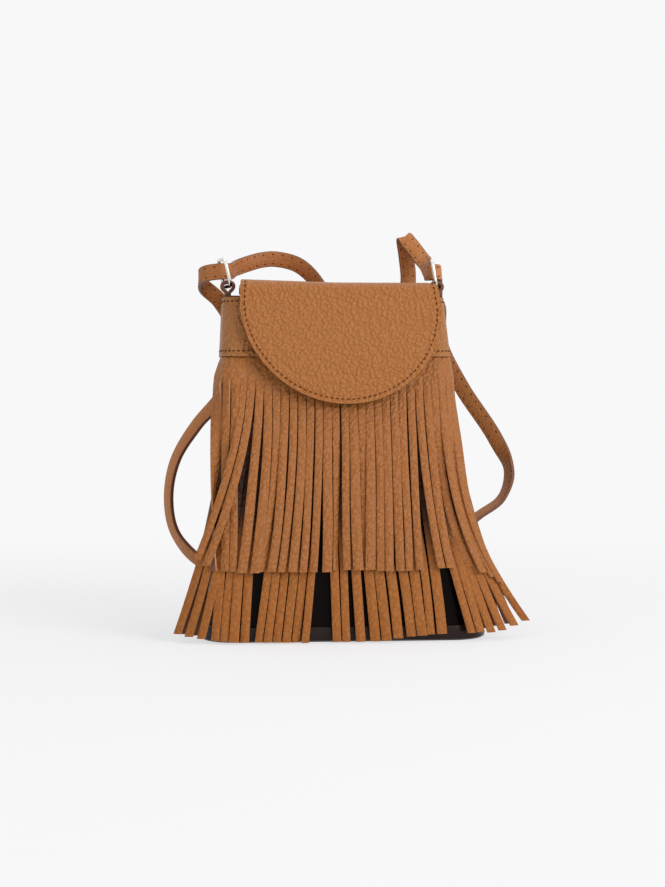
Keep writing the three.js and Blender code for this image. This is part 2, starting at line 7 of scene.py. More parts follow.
# %% Start
import math
import random
import bpy
import numpy as np
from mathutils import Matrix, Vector


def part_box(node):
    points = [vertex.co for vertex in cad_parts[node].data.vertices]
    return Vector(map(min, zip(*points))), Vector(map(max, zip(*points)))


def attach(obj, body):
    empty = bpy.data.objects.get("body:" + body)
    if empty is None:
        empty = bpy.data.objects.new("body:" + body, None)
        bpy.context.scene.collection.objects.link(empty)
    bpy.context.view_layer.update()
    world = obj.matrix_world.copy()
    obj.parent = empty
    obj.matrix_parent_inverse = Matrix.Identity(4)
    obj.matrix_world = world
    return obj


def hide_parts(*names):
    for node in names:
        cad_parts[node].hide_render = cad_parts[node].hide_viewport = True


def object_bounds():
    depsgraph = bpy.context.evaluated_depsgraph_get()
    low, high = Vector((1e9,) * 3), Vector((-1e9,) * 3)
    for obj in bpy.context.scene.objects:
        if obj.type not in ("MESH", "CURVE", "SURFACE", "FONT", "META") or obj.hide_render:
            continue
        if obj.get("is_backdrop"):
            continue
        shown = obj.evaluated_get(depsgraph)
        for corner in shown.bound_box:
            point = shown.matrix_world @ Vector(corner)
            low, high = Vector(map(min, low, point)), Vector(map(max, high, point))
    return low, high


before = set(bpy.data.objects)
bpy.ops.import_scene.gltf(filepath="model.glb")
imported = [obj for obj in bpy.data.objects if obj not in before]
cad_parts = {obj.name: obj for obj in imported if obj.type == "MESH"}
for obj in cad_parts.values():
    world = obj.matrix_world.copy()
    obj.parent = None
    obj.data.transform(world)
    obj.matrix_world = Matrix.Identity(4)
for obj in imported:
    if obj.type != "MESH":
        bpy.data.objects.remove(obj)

bounds_before = [list(corner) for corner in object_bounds()]
MM = 0.001

# %% [markdown]
# ## Camera
# The photo is taken almost level and a little from the left. The camera could be placed by hand, but two
# angles and a distance from a target can be read off a photo one at a time.

# %% Camera
AZIMUTH, ELEVATION, DISTANCE = math.radians(-5.0), math.radians(2.0), 1.1
TARGET = Vector((-0.0052, 0, 0.118))
LENS_MM, SENSOR_MM = 72.12, 36
level = math.cos(ELEVATION)
back = Vector((math.sin(AZIMUTH) * level, -math.cos(AZIMUTH) * level, math.sin(ELEVATION)))
camera = bpy.data.objects.new("camera", bpy.data.cameras.new("camera"))
bpy.context.scene.collection.objects.link(camera)
camera.location = TARGET + DISTANCE * back
camera.rotation_euler = back.to_track_quat("Z", "Y").to_euler()
camera.data.sensor_fit = "VERTICAL"
camera.data.sensor_height = SENSOR_MM
camera.data.lens = LENS_MM
camera.data.clip_start, camera.data.clip_end = 0.05, 20
bpy.context.scene.camera = camera
print("camera at", [round(v, 3) for v in camera.location])

# %% [markdown]
# ## Materials
# The leather's grain is a field of small raised cells with soft, darker grooves between them. A photo of
# leather could be wrapped round each piece, but procedural noise needs no unwrapping and stays sharp on
# every strip. The cells are a Voronoi texture, a little wobbled and drawn out one way. Cut edges, the
# flesh side and cloth get a plainer mix of two tones with a fine bump.

# %% Helpers for materials
def srgb(code):
    parts = [int(code[i:i + 2], 16) / 255 for i in (0, 2, 4)]
    return tuple(v / 12.92 if v <= 0.04045 else ((v + 0.055) / 1.055) ** 2.4 for v in parts) + (1.0,)


def principled(name, colour, roughness, **sockets):
    material = bpy.data.materials.new(name)
    material.use_nodes = True
    shader = material.node_tree.nodes["Principled BSDF"]
    shader.inputs["Base Color"].default_value = srgb(colour)
    shader.inputs["Roughness"].default_value = roughness
    for socket, value in sockets.items():
        shader.inputs[socket.replace("_", " ")].default_value = value
    return material


def node(owner, kind, **values):
    """A new shader node. Each value sets the input socket of its name, or else that setting."""
    made = owner.node_tree.nodes.new(kind)
    for key, value in values.items():
        if key in made.inputs:
            made.inputs[key].default_value = value
        else:
            setattr(made, key, value)
    return made


def link(owner, source, target):
    owner.node_tree.links.new(source, target)


def shader_socket(material, name):
    return material.node_tree.nodes["Principled BSDF"].inputs[name]


def noise(material, place, scale, detail, **values):
    made = node(material, "ShaderNodeTexNoise", Scale=scale, Detail=detail, **values)
    link(material, place, made.inputs["Vector"])
    return made


def remapped(material, value, low, high, bottom=0.0, top=1.0, curve="SMOOTHSTEP"):
    """The value carried from the range low to high onto the range bottom to top."""
    ramp = node(material, "ShaderNodeMapRange", interpolation_type=curve)
    for socket, number in (("From Min", low), ("From Max", high), ("To Min", bottom), ("To Max", top)):
        ramp.inputs[socket].default_value = number
    link(material, value, ramp.inputs["Value"])
    return ramp.outputs["Result"]


def mixed(material, share, first, second):
    """A blend of two colours, each a hex code or another node's output."""
    mix = node(material, "ShaderNodeMix", data_type="RGBA")
    link(material, share, mix.inputs["Factor"])
    for socket, colour in (("A", first), ("B", second)):
        if isinstance(colour, str):
            mix.inputs[socket].default_value = srgb(colour)
        else:
            link(material, colour, mix.inputs[socket])
    return mix.outputs["Result"]


def bumped(material, height, strength, distance):
    raised = node(material, "ShaderNodeBump", Strength=strength, Distance=distance)
    link(material, height, raised.inputs["Height"])
    link(material, raised.outputs["Normal"], shader_socket(material, "Normal"))


# %% Grained and plain finishes
WOBBLE = 0.9 * MM
CELL_TURN = math.radians(38)
FINE_SHARE, PALE_SHARE = 0.22, 0.35


def pebbled(name, colour, groove, light, roughness, grain=470.0, bump=0.55, depth=0.7, shine=0.35, pull=1.0):
    """Pebbled leather: grain is how fine its cells are, and pull how far they are drawn out."""
    m = principled(name, colour, roughness, Specular_IOR_Level=shine)
    place = node(m, "ShaderNodeTexCoord").outputs["Object"]
    push = node(m, "ShaderNodeVectorMath", operation="MULTIPLY_ADD")
    push.inputs[1].default_value = (WOBBLE, WOBBLE, WOBBLE)
    link(m, noise(m, place, 260.0, 2.0).outputs["Color"], push.inputs[0])
    link(m, place, push.inputs[2])
    turned = (0, CELL_TURN, 0)
    stretch = node(m, "ShaderNodeMapping", vector_type="TEXTURE", Rotation=turned, Scale=(1, 1, pull))
    link(m, push.outputs[0], stretch.inputs["Vector"])
    cells = node(m, "ShaderNodeTexVoronoi", feature="SMOOTH_F1", Scale=grain, Smoothness=0.35)
    cells.inputs["Randomness"].default_value = 0.9
    link(m, stretch.outputs[0], cells.inputs["Vector"])
    tops = remapped(m, cells.outputs["Distance"], 0.75, 0.1)
    height = node(m, "ShaderNodeMath", operation="MULTIPLY_ADD")
    height.inputs[1].default_value = FINE_SHARE
    link(m, noise(m, place, 1900.0, 3.0, Roughness=0.6).outputs["Fac"], height.inputs[0])
    link(m, tops, height.inputs[2])
    bumped(m, height.outputs[0], bump, depth * MM)
    slow = noise(m, place, 38.0, 3.0).outputs["Fac"]
    pale = mixed(m, remapped(m, slow, 0.35, 0.65, top=PALE_SHARE, curve="LINEAR"), colour, light)
    link(m, mixed(m, tops, groove, pale), shader_socket(m, "Base Color"))
    return m


def mottled(name, colour, other, roughness, scale, bump=0.15, bump_scale=900.0, **sockets):
    """A plainer finish: two tones in slow patches and a fine bump."""
    m = principled(name, colour, roughness, **sockets)
    place = node(m, "ShaderNodeTexCoord").outputs["Object"]
    slow = noise(m, place, scale, 4.0).outputs["Fac"]
    link(m, mixed(m, slow, colour, other), shader_socket(m, "Base Color"))
    bumped(m, noise(m, place, bump_scale, 3.0).outputs["Fac"], bump, 0.2 * MM)
    return m


def paint_shade_above(m, low, high, colour):
    """Paint shade into a material's colour, darker from the height low up to high, where another piece hangs
    over it.
    """
    socket = shader_socket(m, "Base Color")
    plain = socket.links[0].from_socket
    part = node(m, "ShaderNodeSeparateXYZ")
    link(m, node(m, "ShaderNodeTexCoord").outputs["Object"], part.inputs["Vector"])
    link(m, mixed(m, remapped(m, part.outputs["Z"], low, high), plain, colour), socket)
    return m


# %% Materials
flap_leather = pebbled("flap_leather", "ab692d", "a06026", "b06e31", 0.43, grain=500.0, bump=1.0, pull=1.3)
body_leather = pebbled("body_leather", "b0733b", "a36934", "b67941", 0.48, bump=1.0, depth=1.0, pull=1.3)
fringe_leather = pebbled("fringe_leather", "a8682f", "9b5d29", "ae6f34", 0.5, bump=0.9, pull=1.5)
# The lower tier's leather gets painted shade above 46 mm, where the upper tier hangs over it.
lower_leather_painted_shade = pebbled("lower_leather_painted_shade", "a8682f", "9b5d29", "ae6f34", 0.5, bump=0.7, shine=0.2, pull=1.5)
paint_shade_above(lower_leather_painted_shade, 0.046, 0.080, "321608")
strap_leather = pebbled("strap_leather", "bd7a42", "ad6c38", "c48048", 0.5, grain=900.0, bump=0.25)
cut_edge = mottled("cut_edge", "c4895a", "a87044", 0.8, 400.0)
burnished = mottled("burnished", "7a4524", "66371c", 0.45, 200.0)
flesh_side = mottled("flesh_side", "8f6146", "7c5039", 0.9, 150.0, 0.5)
strap_under = pebbled("strap_under", "b2703a", "a26434", "ba7840", 0.55, grain=900.0, bump=0.25)
wall_dark = mottled("wall_dark", "120806", "0c0504", 0.3, 40.0, 0.05, 300.0, Specular_IOR_Level=0.06)
band_dark = mottled("band_dark", "230f08", "180a05", 0.3, 60.0, 0.1, Specular_IOR_Level=0.25)
thread_brown = principled("thread_brown", "66350f", 0.8, Specular_IOR_Level=0.1)
thread_dark = principled("thread_dark", "522a10", 0.8, Specular_IOR_Level=0.1)
nickel = principled("nickel", "d9d6cc", 0.16, Metallic=1.0)
lining_cloth = mottled("lining_cloth", "8c7a66", "7f6d5a", 0.95, 300.0, 0.6, 1500.0)
board_fibre = mottled("board_fibre", "8a765f", "7b6852", 0.95, 300.0)
print("materials", len(bpy.data.materials))

# %% [markdown]
# ## Strap
# One flat strap, 10 mm wide, goes from the chape behind the left corner out in a loop, up the back, through
# the left ring, behind the flap, down out of sight, up in an arch on the right, through the right ring, out
# in a second loop and back to the right chape. It could be a bevelled curve, but a flat strap turns edge-on
# at the rings, so each point of the route, in millimetres, is followed by the way that its width lies.

# %% Strap route
STRAP_ROUTE = [
    (-74, 43.2, 22, 1, 0, 0), (-74.4, 43.8, 30, 1, 0, 0.1), (-79, 46.5, 37.5, 0.85, 0, 0.53),
    (-91, 50.8, 44.1, 0.45, -0.75, 0.48), (-103, 54.8, 59.9, 0.42, -0.88, 0.22),
    (-106.6, 55.8, 81.9, 0.45, -0.89, 0), (-102, 55.8, 106, 0.47, -0.86, -0.18),
    (-88, 53.8, 128.9, 0.52, -0.78, -0.34), (-71.8, 50.8, 147.9, 0.75, -0.55, -0.32),
    (-65, 49.3, 172, 1, -0.1, 0), (-65.5, 48.8, 193, 0.93, -0.31, 0.21),
    (-73.5, 43, 207.4, 0.42, -0.32, 0.85), (-84, 31, 216.4, 0.1, -0.1, 0.99), (-86.2, 21, 221.4, 0, 0, 1),
    (-82.5, 13, 223.4, 0, 0, 1), (-75, 10, 224.4, 0, 0, 1), (-68.5, 11.2, 224.6, 0, 0, 1),
    (-66.4, 19, 225.5, 0, 0, 1), (-65, 32, 227.2, 0, 0, 1), (-62.8, 44, 228.9, 0, 0, 1),
    (-55.5, 52, 232, 0.02, 0, 1), (-46.5, 55.6, 234.7, 0.06, 0, 1), (-37, 56.6, 235.4, 0.15, 0, 1),
    (-22, 55.3, 231.2, 0.35, -0.35, 0.87), (-8.8, 54.3, 217.5, 0.6, -0.65, 0.46),
    (-1.8, 52.8, 198, 0.8, -0.5, 0.33), (10, 50.8, 178, 0.6, 0, 0.8), (28, 50.8, 176, -0.41, 0, 0.91),
    (44.5, 53.2, 196, -0.93, 0, 0.37), (49, 54.8, 221.7, -1, 0, 0.02), (47.6, 55, 238.5, -0.99, 0, -0.12),
    (46.1, 52.2, 249.2, -0.91, 0, -0.41), (50, 48.8, 244.6, -0.84, 0, -0.54),
    (55.6, 44, 236.2, -0.84, 0, -0.54), (58.2, 31, 229.6, -0.6, -0.1, -0.79),
    (55.4, 20.2, 225.2, 0.12, -0.15, -0.98), (58.8, 10.4, 224.6, 0.06, -0.2, -0.98),
    (62.4, 10.6, 224.6, 0.05, -0.2, -0.98), (64.6, 20, 221.8, 0.08, -0.1, -0.99),
    (66, 35, 215, 0.25, 0, -0.97), (68.2, 48.8, 203, 0.71, 0, -0.71), (69.5, 52.3, 182.1, 0.98, 0, -0.2),
    (84, 55.8, 153.5, 0.79, -0.32, 0.53), (107, 57.8, 119.4, 0.82, -0.41, 0.41),
    (116.3, 56.8, 97.5, 0.38, -0.92, -0.1), (111, 55.2, 80, 0.12, -0.97, -0.2),
    (90.5, 50, 64.8, 0.08, -0.96, -0.25), (77.5, 45.5, 38, 0.94, -0.19, -0.28), (74.4, 43.8, 30, 1, 0, 0),
    (74, 43.2, 22, 1, 0, 0),
]
STRAP_WIDTH, STRAP_THICK = 10 * MM, 2.4 * MM


def unit(v):
    v = np.asarray(v, float)
    return v / np.maximum(np.linalg.norm(v, axis=-1, keepdims=True), 1e-9)


def smoothstep(t):
    return t * t * (3 - 2 * t)


def smooth_line(points, per_span):
    """Centripetal Catmull-Rom through the points, with per_span steps in each span."""
    p = np.asarray(points, float)
    p = np.vstack([2 * p[0] - p[1], p, 2 * p[-1] - p[-2]])
    line = []
    for i in range(1, len(p) - 2):
        p0, p1, p2, p3 = p[i - 1:i + 3]
        d0, d1, d2 = (max(np.linalg.norm(b - a), 1e-9) ** 0.5 for a, b in ((p0, p1), (p1, p2), (p2, p3)))
        m1 = ((p1 - p0) / d0 - (p2 - p0) / (d0 + d1) + (p2 - p1) / d1) * d1
        m2 = ((p2 - p1) / d1 - (p3 - p1) / (d1 + d2) + (p3 - p2) / d2) * d1
        square, cube = -3 * p1 + 3 * p2 - 2 * m1 - m2, 2 * p1 - 2 * p2 + m1 + m2
        for t in np.arange(per_span) / per_span:
            line.append(p1 + m1 * t + square * t ** 2 + cube * t ** 3)
    line.append(p[-2])
    return np.array(line)


def run_along(line):
    """The distance from the start of the line to each of its points."""
    return np.concatenate([[0], np.cumsum(np.linalg.norm(np.diff(line, axis=0), axis=1))])


def at(values, spots, run):
    """The values at the given distances, read between the line's own points."""
    return np.stack([np.interp(spots, run, values[:, k]) for k in range(3)], axis=1)


def strap_frames(route, per_span):
    """The strap's line, and at each point its direction, its width's and its face's."""
    line = smooth_line([[v * MM for v in key[:3]] for key in route], per_span)
    keys = unit([key[3:] for key in route])
    widths = []
    for i in range(len(route) - 1):
        for t in np.arange(per_span) / per_span:
            ease = smoothstep(t)
            widths.append(keys[i] * (1 - ease) + keys[i + 1] * ease)
    widths = np.array(widths + [keys[-1]])
    tangents = unit(np.gradient(line, axis=0))
    widths = unit(widths - tangents * np.sum(widths * tangents, axis=1, keepdims=True))
    return line, tangents, widths, np.cross(tangents, widths)


STRAP_STEPS = 8
line, tangents, widths, normals = strap_frames(STRAP_ROUTE, STRAP_STEPS)
run = run_along(line)


# %% Strap mesh and stitches
def mesh_object(name, verts, faces, slots, materials, sharp=35):
    mesh = bpy.data.meshes.new(name)
    mesh.from_pydata(np.asarray(verts, float).tolist(), [], faces)
    for material in materials:
        mesh.materials.append(material)
    mesh.polygons.foreach_set("material_index", slots)
    mesh.polygons.foreach_set("use_smooth", [True] * len(mesh.polygons))
    mesh.set_sharp_from_angle(angle=math.radians(sharp))
    mesh.validate()
    obj = bpy.data.objects.new(name, mesh)
    bpy.context.scene.collection.objects.link(obj)
    return obj


def between(first, second, count):
    """Faces that join two closed loops of count points, starting at the vertices first and second."""
    pairs = [(j, (j + 1) % count) for j in range(count)]
    return [(first + j, second + j, second + n, first + n) for j, n in pairs]


def ribbon(name, line, widths, normals, width, thick, materials, rounding):
    """A flat strip with soft edges. materials: the face on +normal, the face on -normal, the edges."""
    w, t, r = width / 2, thick / 2, rounding
    quarter = [(w - r, t), (w - 0.3 * r, t - 0.3 * r), (w, t - r)]
    near = [(x, -y) for x, y in quarter]
    section = [(-x, y) for x, y in reversed(near)] + [(0, -t)] + near
    section += quarter[::-1] + [(0, t)] + [(-x, y) for x, y in quarter]
    slot_of = [2, 2, 1, 1, 2, 2, 2, 2, 2, 0, 0, 2, 2, 2]
    n = len(section)
    verts = [p + a * x + b * y for p, a, b in zip(line, widths, normals) for x, y in section]
    faces = [face for k in range(len(line) - 1) for face in between(k * n, (k + 1) * n, n)]
    slots = slot_of * (len(line) - 1) + [2, 2]
    faces += [tuple(range(n)), tuple(len(verts) - n + j for j in reversed(range(n)))]
    return mesh_object(name, verts, faces, slots, materials, 50)


def stitches(name, places, along, out, length, width, material, sink=0.3, body="body"):
    """One mesh of short thread stitches. places, along and out have a row for each stitch."""
    around, lengthways = 8, 5
    angles = np.linspace(0, 2 * math.pi, around, endpoint=False)
    u = np.linspace(-1, 1, lengthways)
    radius = np.sqrt(np.maximum(1 - np.abs(u) ** 2.6, 0.04)) * width / 2
    places, along, out = (np.asarray(v, float).reshape(-1, 3) for v in (places, along, out))
    along = unit(along)
    out = unit(out - along * np.sum(out * along, axis=1, keepdims=True))
    across = np.cross(along, out)
    lift = 1 - 2 * sink
    verts, faces = [], []
    for p, a, o, s in zip(places, along, out, across):
        base = len(verts)
        for k in range(lengthways):
            middle = p + a * u[k] * length / 2
            verts += [middle + (s * math.cos(t) + o * (math.sin(t) + lift)) * radius[k] for t in angles]
        for k in range(lengthways - 1):
            faces += between(base + k * around, base + (k + 1) * around, around)
        faces.append(tuple(base + j for j in range(around)))
        faces.append(tuple(base + (lengthways - 1) * around + j for j in reversed(range(around))))
    row = mesh_object(name, verts, faces, [0] * len(faces), [material], 60)
    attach(row, body)
    return row


def stand_in(piece, body, node_name):
    """The piece moves with the body and is shown in place of the CAD node."""
    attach(piece, body)
    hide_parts(node_name)


strap_skins = [strap_under, strap_leather, burnished]
strap = ribbon("strap_leather", line, widths, normals, STRAP_WIDTH, STRAP_THICK, strap_skins, 0.45 * MM)
FIRST_SEWN, LAST_SEWN, STITCH_ROW = 9, 43, 3.0 * MM
spots = np.arange(run[STRAP_STEPS * FIRST_SEWN], run[STRAP_STEPS * LAST_SEWN], 6 * MM)
p, a, w, n = (at(v, spots, run) for v in (line, tangents, widths, normals))
places, alongs, outs = [], [], []
for face in (-1, 1):
    for row in (-1, 1):
        places.append(p + unit(w) * row * STITCH_ROW + unit(n) * face * STRAP_THICK / 2)
        alongs.append(a)
        outs.append(unit(n) * face)
strap_stitches = stitches("strap_stitches", places, alongs, outs, 1.4 * MM, 1.1 * MM, thread_dark, 0.8)
stand_in(strap, "body", "strap")
print("strap stitches", 4 * len(spots))

# %% [markdown]
# ## Body outline
# The outline at each height is the CAD's: it widens to the base and bulges forward, with round corners.
# The walls could each be modelled by hand, but one function of the height makes wall, yoke, lining and
# stitches fit each other.

# %% Body outline
RIM, LEATHER, GAP = 0.208, 1.6 * MM, 0.3 * MM
BACK_OUTER, BACK_THICK = 39.6 * MM, 1.8 * MM
INSIDE_BACK = BACK_OUTER - BACK_THICK - GAP
WALL_THICK, CLOTH = 1.4 * MM, 0.8 * MM
FRINGE_IN = LEATHER + GAP
WALL_IN = FRINGE_IN + WALL_THICK + 2 * GAP
INSIDE_IN = WALL_IN + WALL_THICK + GAP
SIDE_STEPS, CORNER_STEPS, FRONT_STEPS, REAR_STEPS = 10, 10, 40, 20


def outline(z):
    """At height z: half the width, the y of the front, the corner's radius and the x of the middle."""
    up = np.clip(np.asarray(z, float) / RIM, 0, 1)
    half = 0.0685 + 0.0215 * (1 - up) ** 1.3
    front = -0.040 + 0.030 * up ** 2.4
    corner = 0.025 + (0.011 - 0.025) * up
    return half, front, corner, -0.0045 * up


def across(z, inset, back_y):
    """The outline moved in by inset: from the back up the left side, along the front and to the back."""
    half, front, corner, middle = (float(v) for v in outline(z))
    flat, turn_y, radius = half - corner, front + corner, corner - inset
    aside = [(half - inset, back_y + (turn_y - back_y) * k / SIDE_STEPS) for k in range(SIDE_STEPS)]
    for k in range(CORNER_STEPS):
        turn = k / CORNER_STEPS * math.pi / 2
        aside.append((flat + radius * math.cos(turn), turn_y - radius * math.sin(turn)))
    ahead = [(flat * (2 * k / FRONT_STEPS - 1), front + inset) for k in range(FRONT_STEPS + 1)]
    points = [(-x, y) for x, y in aside] + ahead + aside[::-1]
    return np.array([(middle + x, y, z) for x, y in points])


def closed_loop(z, inset, back_y):
    """The same outline, closed along the back."""
    points = across(z, inset, back_y)
    left, right = points[0], points[-1]
    rear = np.array([right + (left - right) * k / REAR_STEPS for k in range(1, REAR_STEPS)])
    return np.concatenate([points, rear])


def along_front(s, z, off=0.0):
    """The point s along the outline from the middle of the front, moved out by off; arrays work too."""
    half, front, corner, middle = outline(z)
    side = np.where(s < 0, -1.0, 1.0)
    flat = half - corner
    past = np.abs(s) - flat
    turn = np.clip(past / corner, 0, math.pi / 2)
    backward = np.maximum(past - corner * math.pi / 2, 0)
    radius = corner + off
    x = np.where(past <= 0, np.abs(s), flat + radius * np.sin(turn))
    y = np.where(past <= 0, front - off, front + corner - radius * np.cos(turn) + backward)
    out = np.stack([side * np.sin(turn), -np.cos(turn), np.zeros_like(turn)], axis=-1)
    return np.stack([middle + side * x, y, z + 0 * x], axis=-1), out


print("half width at the base and rim", [round(float(outline(z)[0]), 4) for z in (0, RIM)])

# %% [markdown]
# ## Dark wall, base band, base panel and board
# The dark wall is the bag's body: a smooth, glossy sheet behind the fringe, seen in the gaps. A block would
# do for the front view, but an open sheet lets the bag be looked into. A sheet is two grids of points, one
# for each face, closed round the edge. The band swells a little between its folded edges, and the base and
# its board are plates cut to the same outline.

# %% Dark wall
def sheet_object(name, outer, inner, materials, wrapped=False):
    """materials are for the outer face, the inner face and the edge. A wrapped sheet closes on itself."""
    rows, columns = outer.shape[:2]
    near = np.arange(rows * columns).reshape(rows, columns)
    if wrapped:
        near = np.concatenate([near, near[:, :1]], axis=1)
    far = near + rows * columns
    groups = [(0, near[:-1, :-1], near[:-1, 1:], near[1:, 1:], near[1:, :-1]),
              (1, far[:-1, :-1], far[1:, :-1], far[1:, 1:], far[:-1, 1:])]
    edges = [(far[0], near[0]), (near[-1], far[-1])]
    if not wrapped:
        edges += [(near[:, 0], far[:, 0]), (far[:, -1], near[:, -1])]
    groups += [(2, one[:-1], one[1:], other[1:], other[:-1]) for one, other in edges]
    faces, slots = [], []
    for slot, *corners in groups:
        quads = np.stack(corners, axis=-1).reshape(-1, 4).tolist()
        faces += quads
        slots += [slot] * len(quads)
    verts = np.concatenate([outer.reshape(-1, 3), inner.reshape(-1, 3)])
    return mesh_object(name, verts, faces, slots, materials)


def wall_sheet(name, low, high, inset, thick, rows, materials):
    """A sheet that follows the front and both sides from the height low up to high."""
    heights = np.linspace(low, high, rows)
    outer = np.array([across(z, inset, INSIDE_BACK) for z in heights])
    inner = np.array([across(z, inset + thick, INSIDE_BACK) for z in heights])
    return sheet_object(name, outer, inner, materials)


WALL_LOW, WALL_HIGH = 0.0023, 0.1775
wall_skins = [wall_dark, flesh_side, wall_dark]
wall = wall_sheet("dark_wall", WALL_LOW, WALL_HIGH, WALL_IN, WALL_THICK, 60, wall_skins)
stand_in(wall, "body", "lower_wall")
print("wall faces", len(wall.data.polygons))

# %% Base band, panel and board
BAND_LEVELS = [0.6, 1.0, 2.5, 5, 7.5, 9.1, 9.5]
BAND_PUFF = [-0.9, -0.2, 0.1, 0.2, 0.1, -0.2, -0.8]
BAND_THICK = 1.2


def soften(obj, width, segments=2):
    """Round the sharp edges with a bevel."""
    bevel = obj.modifiers.new("edge", "BEVEL")
    bevel.width, bevel.segments = width, segments
    bevel.limit_method, bevel.angle_limit = "ANGLE", math.radians(50)
    bevel.material = -1
    return obj


band_outer = []
for z, puff in zip(BAND_LEVELS, BAND_PUFF):
    stands = (BAND_THICK + puff) * MM
    band_outer.append(closed_loop(z * MM, WALL_IN - GAP - stands, BACK_OUTER + GAP + stands))
band_inner = [closed_loop(z * MM, WALL_IN - GAP, BACK_OUTER + GAP) for z in BAND_LEVELS]
band_grids = [np.array(loops) for loops in (band_outer, band_inner)]
band = sheet_object("base_band_leather", *band_grids, [band_dark, flesh_side, band_dark], wrapped=True)
stand_in(band, "body", "base_band")


def plate(node_name, low, high, inset, back_y, material):
    """A flat plate in the shape of the foot's outline."""
    loop = closed_loop(0.0, inset, back_y)
    count = len(loop)
    verts = np.concatenate([loop + (0, 0, low), loop + (0, 0, high)])
    faces = between(count, 0, count)
    faces += [tuple(reversed(range(count))), tuple(range(count, 2 * count))]
    made = mesh_object(node_name + "_sheet", verts, faces, [0] * len(faces), [material])
    stand_in(soften(made, 0.4 * MM), "body", node_name)


plate("base_panel", 0.0, 2.0 * MM, WALL_IN + GAP, BACK_OUTER, band_dark)
plate("base_board", 2.3 * MM, 3.8 * MM, INSIDE_IN + GAP, INSIDE_BACK, board_fibre)
print("band levels", len(BAND_LEVELS), "plates", 2)

# %% [markdown]
# ## Yoke
# The yoke is the tan panel round the top of the body, sewn to the wall above the fringe. It is the same
# kind of sheet as the wall, further out, with burnished edges. The stitches could be a texture, but small
# solid threads catch the light one by one.

# %% Yoke and its seams
YOKE_SEAM, ROW_STEP = 0.1715, 3.05 * MM
SEAM_LONG, SEAM_WIDE = 2.0 * MM, 0.8 * MM
leather_skins = [body_leather, flesh_side, burnished]
yoke = wall_sheet("yoke_leather", YOKE_SEAM, RIM, 0.0, LEATHER, 24, leather_skins)
soften(yoke, 0.4 * MM, 3)
stand_in(yoke, "body", "yoke")


def seam(name, z, reach, off=0.0):
    """A row of stitches round the front at height z, as far as reach to each side of the middle."""
    s = np.arange(-reach, reach, ROW_STEP)
    p, out = along_front(s, np.full_like(s, z), off)
    ahead, _ = along_front(s + 0.5 * MM, np.full_like(s, z), off)
    keep = p[:, 1] < INSIDE_BACK - 2 * MM
    stitches(name, p[keep], (ahead - p)[keep], out[keep], SEAM_LONG, SEAM_WIDE, thread_dark)
    return int(keep.sum())


print("yoke stitches", seam("yoke_stitches", YOKE_SEAM + 3.5 * MM, 0.112))
print("rim stitches", seam("rim_stitches", RIM - 2.6 * MM, 0.112))

# %% [markdown]
# ## Back panel
# The photo doesn't show the back, so it is one plain panel that closes the body, sewn down both sides. A
# scaled cube would be quicker, but rows of points let its sides follow the outline and its foot narrow
# to fit inside the band.

# %% Back panel
BACK_FOOT = 0.0099
levels = np.concatenate([np.linspace(WALL_LOW, 0.0098, 3), np.linspace(0.0125, 0.211, 60)])


def back_row(z, y):
    half, _, _, middle = (float(v) for v in outline(z))
    reach = half - (FRINGE_IN if z > BACK_FOOT else WALL_IN)
    return [(middle + reach * u, y, z) for u in np.linspace(1, -1, 60)]


back_outer = np.array([back_row(z, BACK_OUTER) for z in levels])
back_inner = np.array([back_row(z, BACK_OUTER - BACK_THICK) for z in levels])
back_panel = soften(sheet_object("back_leather", back_outer, back_inner, leather_skins), 0.4 * MM)
stand_in(back_panel, "body", "back_panel")
heights = np.arange(0.016, 0.206, 3.6 * MM)
half, _, _, middle = outline(heights)
sewn = half - FRINGE_IN - 3.5 * MM
back_y = np.full_like(heights, BACK_OUTER)
lines = np.array([np.stack([middle + side * sewn, back_y, heights], axis=1) for side in (-1, 1)])
along, outward = np.gradient(lines, axis=1), np.zeros_like(lines) + (0, 1, 0)
stitches("back_stitches", lines, along, outward, 2.3 * MM, SEAM_WIDE, thread_brown)
print("back stitches", 2 * len(heights))

# %% [markdown]
# ## Mouth facing and lining
# Inside the mouth a real bag has a strip of leather, the facing, with a cloth bag hung from it. They
# could be left out, because the flap hides them, but it opens. The lining is a pot: two walls joined at
# the top, each with a floor.

# %% Mouth facing and lining
FACING_THICK, FACING_FOOT = 1.2 * MM, 0.178
LINING_TOP, LINING_FLOOR, LINING_ROWS = 0.184, 0.0041, 30
FACING_LOW_IN = INSIDE_IN + 3 * GAP + CLOTH
FACING_TOP_IN = LEATHER + GAP + 3.2 * MM + 2 * GAP


def facing_grid(deeper):
    loops = []
    for z in np.linspace(FACING_FOOT, RIM, 12):
        share = max(z - LINING_TOP, 0) / (RIM - LINING_TOP)
        inset = FACING_LOW_IN + (FACING_TOP_IN - FACING_LOW_IN) * share
        back_y = INSIDE_BACK - (2 * GAP + CLOTH) * (1 - share)
        loops.append(closed_loop(z, inset + deeper, back_y - deeper))
    return np.array(loops)


facing_grids = [facing_grid(deeper) for deeper in (0.0, FACING_THICK)]
facing = sheet_object("facing_leather", *facing_grids, [flesh_side, body_leather, burnished], wrapped=True)
stand_in(soften(facing, 0.3 * MM), "body", "mouth_facing")


def pot_wall(floor, inset, back_y):
    return np.array([closed_loop(z, inset, back_y) for z in np.linspace(floor, LINING_TOP, LINING_ROWS)])


